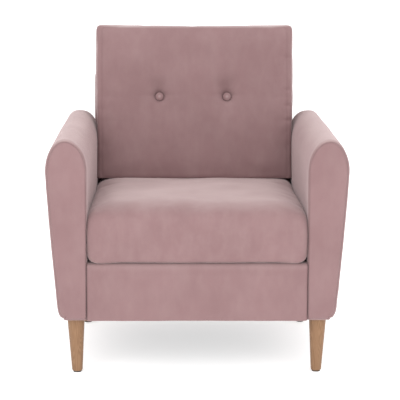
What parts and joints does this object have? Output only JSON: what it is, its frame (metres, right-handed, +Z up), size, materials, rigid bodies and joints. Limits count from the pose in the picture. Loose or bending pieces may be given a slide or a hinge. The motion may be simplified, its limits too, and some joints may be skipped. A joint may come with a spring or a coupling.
{
  "type": "upholstered armchair",
  "caption": "Cloth-covered armchair with slim flared arms, loose boxed seat and tufted back cushions, and tapered wooden legs.",
  "frame": {"origin": "on the floor, below the middle of the whole chair's bounding box", "axes": "+Z up, -Y is the way the chair faces, +X is to the right when looking at its front"},
  "size_m": [0.805, 0.8114, 0.905],
  "materials": {
    "facing_cloth": "matte",
    "arm_cloth": "matte",
    "back_cloth": "matte",
    "seat_cushion_cloth": "matte",
    "back_cushion_cloth": "matte",
    "button_cloth": "matte",
    "foam": "matte",
    "plywood": "matte",
    "softwood": "matte",
    "bolt_steel": "satin",
    "leg_oak": "satin",
    "glide_plastic": "matte",
    "spring_steel": "satin",
    "zip_metal": "satin",
    "lining_cloth": "matte",
    "webbing_jute": "matte",
    "tufting_twine": "matte"
  },
  "bodies": {
    "base": {"front_rail": "softwood", "rear_rail": "softwood", "seat_spring_1": "spring_steel", "seat_spring_2": "spring_steel", "seat_spring_3": "spring_steel", "seat_spring_4": "spring_steel", "seat_spring_5": "spring_steel", "seat_deck_cloth": "lining_cloth", "dust_cover": "lining_cloth", "front_border": "arm_cloth", "back_cover": "back_cloth", "back_foam": "foam", "back_upright_left": "softwood", "back_upright_right": "softwood", "back_top_rail": "softwood", "back_bottom_rail": "softwood", "back_webbing_1": "webbing_jute", "back_webbing_2": "webbing_jute", "back_webbing_3": "webbing_jute", "side_rail_left": "softwood", "arm_cover_left": "arm_cloth", "arm_facing_left": "facing_cloth", "arm_foam_left": "foam", "arm_front_board_left": "plywood", "arm_rear_board_left": "plywood", "arm_top_rail_left": "softwood", "leg_block_front_left": "softwood", "leg_front_left": "leg_oak", "leg_bolt_front_left": "bolt_steel", "glide_front_left": "glide_plastic", "leg_block_rear_left": "softwood", "leg_rear_left": "leg_oak", "leg_bolt_rear_left": "bolt_steel", "glide_rear_left": "glide_plastic", "side_rail_right": "softwood", "arm_cover_right": "arm_cloth", "arm_facing_right": "facing_cloth", "arm_foam_right": "foam", "arm_front_board_right": "plywood", "arm_rear_board_right": "plywood", "arm_top_rail_right": "softwood", "leg_block_front_right": "softwood", "leg_front_right": "leg_oak", "leg_bolt_front_right": "bolt_steel", "glide_front_right": "glide_plastic", "leg_block_rear_right": "softwood", "leg_rear_right": "leg_oak", "leg_bolt_rear_right": "bolt_steel", "glide_rear_right": "glide_plastic"},
    "seat_cushion": {"seat_cushion_cover": "seat_cushion_cloth", "seat_cushion_foam": "foam"},
    "seat_zip": {"seat_zip_slider": "zip_metal"},
    "back_cushion": {"back_cushion_cover": "back_cushion_cloth", "back_cushion_foam": "foam", "button_left": "button_cloth", "tufting_twine_left": "tufting_twine", "button_right": "button_cloth", "tufting_twine_right": "tufting_twine"},
    "back_zip": {"back_zip_slider": "zip_metal"}
  },
  "joints": [
    {"name": "seat_cushion_draw", "type": "slide", "parent": "base", "child": "seat_cushion", "axis": [0, -1, 0], "range_m": [0, 0.3]},
    {"name": "back_cushion_lift", "type": "slide", "parent": "base", "child": "back_cushion", "axis": [0, 0.2164, 0.9763], "range_m": [0, 0.45]},
    {"name": "seat_zip_run", "type": "slide", "parent": "seat_cushion", "child": "seat_zip", "axis": [1, 0, 0], "range_m": [0, 0.4]},
    {"name": "back_zip_run", "type": "slide", "parent": "back_cushion", "child": "back_zip", "axis": [1, 0, 0], "range_m": [0, 0.4]}
  ]
}
